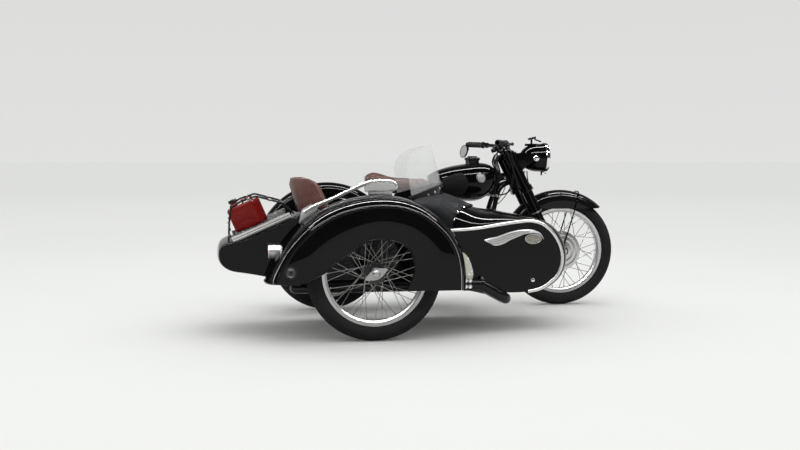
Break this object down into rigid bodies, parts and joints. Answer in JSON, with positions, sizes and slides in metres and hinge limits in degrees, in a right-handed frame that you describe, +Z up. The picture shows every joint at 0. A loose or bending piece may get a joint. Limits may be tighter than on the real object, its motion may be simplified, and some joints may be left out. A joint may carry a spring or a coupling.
{
  "type": "sidecar motorcycle",
  "caption": "Shaft-drive motorcycle with a boat-shaped sidecar on its right, folding stand, turning fork and free wheels.",
  "frame": {"origin": "centre of the footprint's bounding box, on the floor", "axes": "+X forwards, +Y to the machine's left, +Z up; the sidecar is on -Y"},
  "size_m": [2.347, 1.6433, 1.0077],
  "materials": {
    "paint_black": "gloss",
    "paint_red": "gloss",
    "paint_cream": "gloss",
    "chrome": "polished",
    "alloy": "satin",
    "steel": "satin",
    "tyre": "matte",
    "rubber": "matte",
    "brown_leather": "satin",
    "grey_leather": "satin",
    "clear": "clear",
    "lamp_glass": "clear",
    "lamp_mix": "polished"
  },
  "bodies": {
    "root": {"frame": "paint_black", "rear_axle": "steel", "final_drive": "alloy", "engine_block": "alloy", "cylinders": "alloy", "carburettors": "alloy", "exhausts": "chrome", "fuel_tank": "paint_black", "knee_pads": "rubber", "saddle": "brown_leather", "saddle_springs": "steel", "rear_fender": "paint_black", "foot_controls": "steel", "battery": "rubber", "sidecar_body": "paint_black", "tonneau_cover": "grey_leather", "windscreen_band": "paint_black", "windscreen": "clear", "sidecar_seat": "brown_leather", "sidecar_backrest": "brown_leather", "grab_rail": "alloy", "luggage_rails": "alloy", "luggage_rack": "paint_black", "fuel_can": "paint_red", "sidecar_fender": "paint_black", "stone_guard": "paint_cream", "tail_lamps": "lamp_mix", "sidecar_chassis": "paint_black", "sidecar_axle": "steel", "sidecar_struts": "paint_black"},
    "steering": {"fork_legs": "paint_black", "steering_yokes": "paint_black", "handlebar": "paint_black", "grips": "rubber", "mirror": "paint_black", "headlamp_shell": "paint_black", "headlamp_lens": "lamp_glass", "front_fender": "paint_black", "fender_stays": "paint_black", "front_axle": "alloy", "brake_cable": "rubber"},
    "front_wheel": {"front_tyre": "tyre", "front_rim": "chrome", "front_hub": "alloy"},
    "rear_wheel": {"rear_tyre": "tyre", "rear_rim": "chrome", "rear_hub": "alloy"},
    "sidecar_wheel": {"sidecar_tyre": "tyre", "sidecar_rim": "chrome", "sidecar_hub": "steel"},
    "centre_stand": {"centre_stand": "paint_black"}
  },
  "joints": [
    {"name": "steering_turn", "type": "hinge", "parent": "root", "child": "steering", "pos_m": [0.6265, 0.412, 0.6], "axis": [-0.4415, 0, 0.8973], "range_deg": [-38, 38]},
    {"name": "front_wheel_spin", "type": "hinge", "parent": "steering", "child": "front_wheel", "pos_m": [0.8465, 0.412, 0.327], "axis": [0, 1, 0], "continuous": true},
    {"name": "rear_wheel_spin", "type": "hinge", "parent": "root", "child": "rear_wheel", "pos_m": [-0.5535, 0.412, 0.327], "axis": [0, 1, 0], "continuous": true},
    {"name": "sidecar_wheel_spin", "type": "hinge", "parent": "root", "child": "sidecar_wheel", "pos_m": [-0.4235, -0.734, 0.327], "axis": [0, 1, 0], "continuous": true},
    {"name": "centre_stand_fold", "type": "hinge", "parent": "root", "child": "centre_stand", "pos_m": [-0.2235, 0.412, 0.15], "axis": [0, -1, 0], "range_deg": [0, 46], "stiffness_Nm_per_rad": 1.5, "springref_deg": -114.59}
  ]
}
